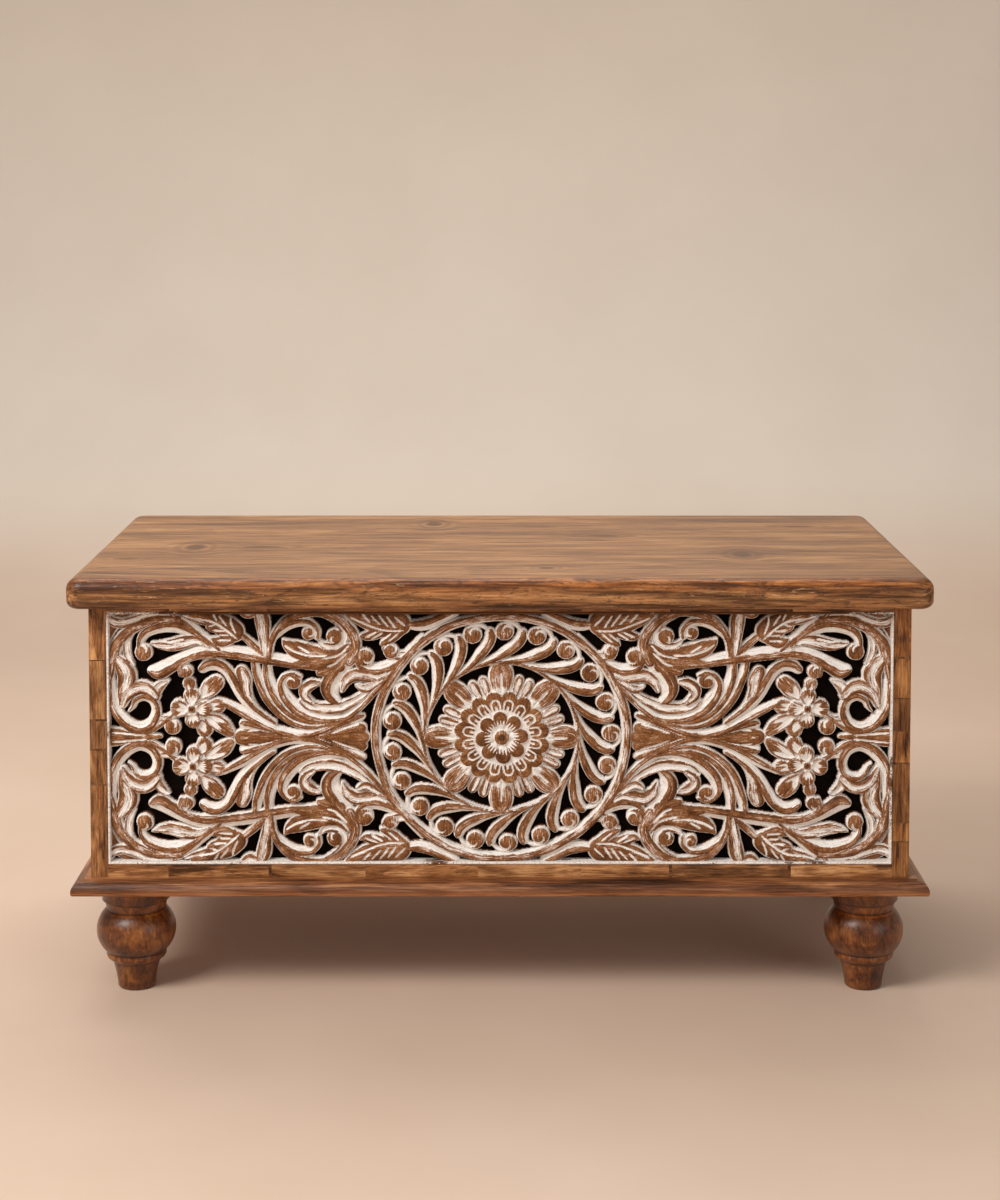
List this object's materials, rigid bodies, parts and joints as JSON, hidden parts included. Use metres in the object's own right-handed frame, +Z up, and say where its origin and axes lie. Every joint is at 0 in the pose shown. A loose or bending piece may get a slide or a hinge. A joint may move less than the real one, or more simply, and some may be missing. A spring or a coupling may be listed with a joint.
{
  "type": "carved storage trunk",
  "caption": "Lift-lid storage trunk with an overhanging plank top, a pierced and carved front panel round a rosette, a boarded carcass, a moulded plinth and turned feet.",
  "frame": {"origin": "on the floor under the middle of the trunk", "axes": "+X to the viewer's right along the length, +Y from the carved front to the back, +Z up"},
  "size_m": [0.914, 0.457, 0.4544],
  "materials": {
    "lid_wood": "satin waxed plank top with long grain and a few knots",
    "plank_wood": "satin waxed planks",
    "frame_wood": "satin waxed frame made of short offcuts",
    "carved_wood": "brown crowns with whitewash left in the recesses",
    "backing_wood": "dark stained, matt",
    "plinth_wood": "satin waxed moulding",
    "foot_wood": "darker turned wood, satin",
    "inner_wood": "bare sawn wood",
    "hinge_steel": "blackened steel, satin",
    "screw_steel": "dull steel"
  },
  "bodies": {
    "carcass": {"back_plank_lower": "plank_wood", "back_plank_middle": "plank_wood", "back_plank_upper": "plank_wood", "carved_front_panel": "carved_wood", "corner_block_back_left": "inner_wood", "corner_block_back_right": "inner_wood", "corner_block_front_left": "inner_wood", "corner_block_front_right": "inner_wood", "floor_board": "inner_wood", "floor_cleat_back": "inner_wood", "floor_cleat_front": "inner_wood", "foot_back_left": "foot_wood", "foot_back_right": "foot_wood", "foot_bolts": "screw_steel", "foot_front_left": "foot_wood", "foot_front_right": "foot_wood", "front_backing_board": "backing_wood", "front_bottom_rail": "frame_wood", "front_stile_left": "frame_wood", "front_stile_right": "frame_wood", "front_top_rail": "frame_wood", "hinge_back_leaf_left": "hinge_steel", "hinge_back_leaf_right": "hinge_steel", "hinge_back_screws": "screw_steel", "hinge_pin_left": "hinge_steel", "hinge_pin_right": "hinge_steel", "plinth_back": "plinth_wood", "plinth_front": "plinth_wood", "plinth_left": "plinth_wood", "plinth_right": "plinth_wood", "side_plank_left_lower": "plank_wood", "side_plank_left_middle": "plank_wood", "side_plank_left_upper": "plank_wood", "side_plank_right_lower": "plank_wood", "side_plank_right_middle": "plank_wood", "side_plank_right_upper": "plank_wood"},
    "lid": {"hinge_lid_leaf_left": "hinge_steel", "hinge_lid_leaf_right": "hinge_steel", "hinge_lid_screws": "screw_steel", "lid_batten_left": "inner_wood", "lid_batten_right": "inner_wood", "lid_batten_screws": "screw_steel", "lid_plank_front": "lid_wood", "lid_plank_middle_front": "lid_wood", "lid_plank_middle_rear": "lid_wood", "lid_plank_rear": "lid_wood"}
  },
  "joints": [
    {"name": "lid_hinge", "type": "hinge", "parent": "carcass", "child": "lid", "pos_m": [0, 0.2113, 0.4222], "axis": [-1, 0, 0], "range_deg": [0, 100]}
  ]
}
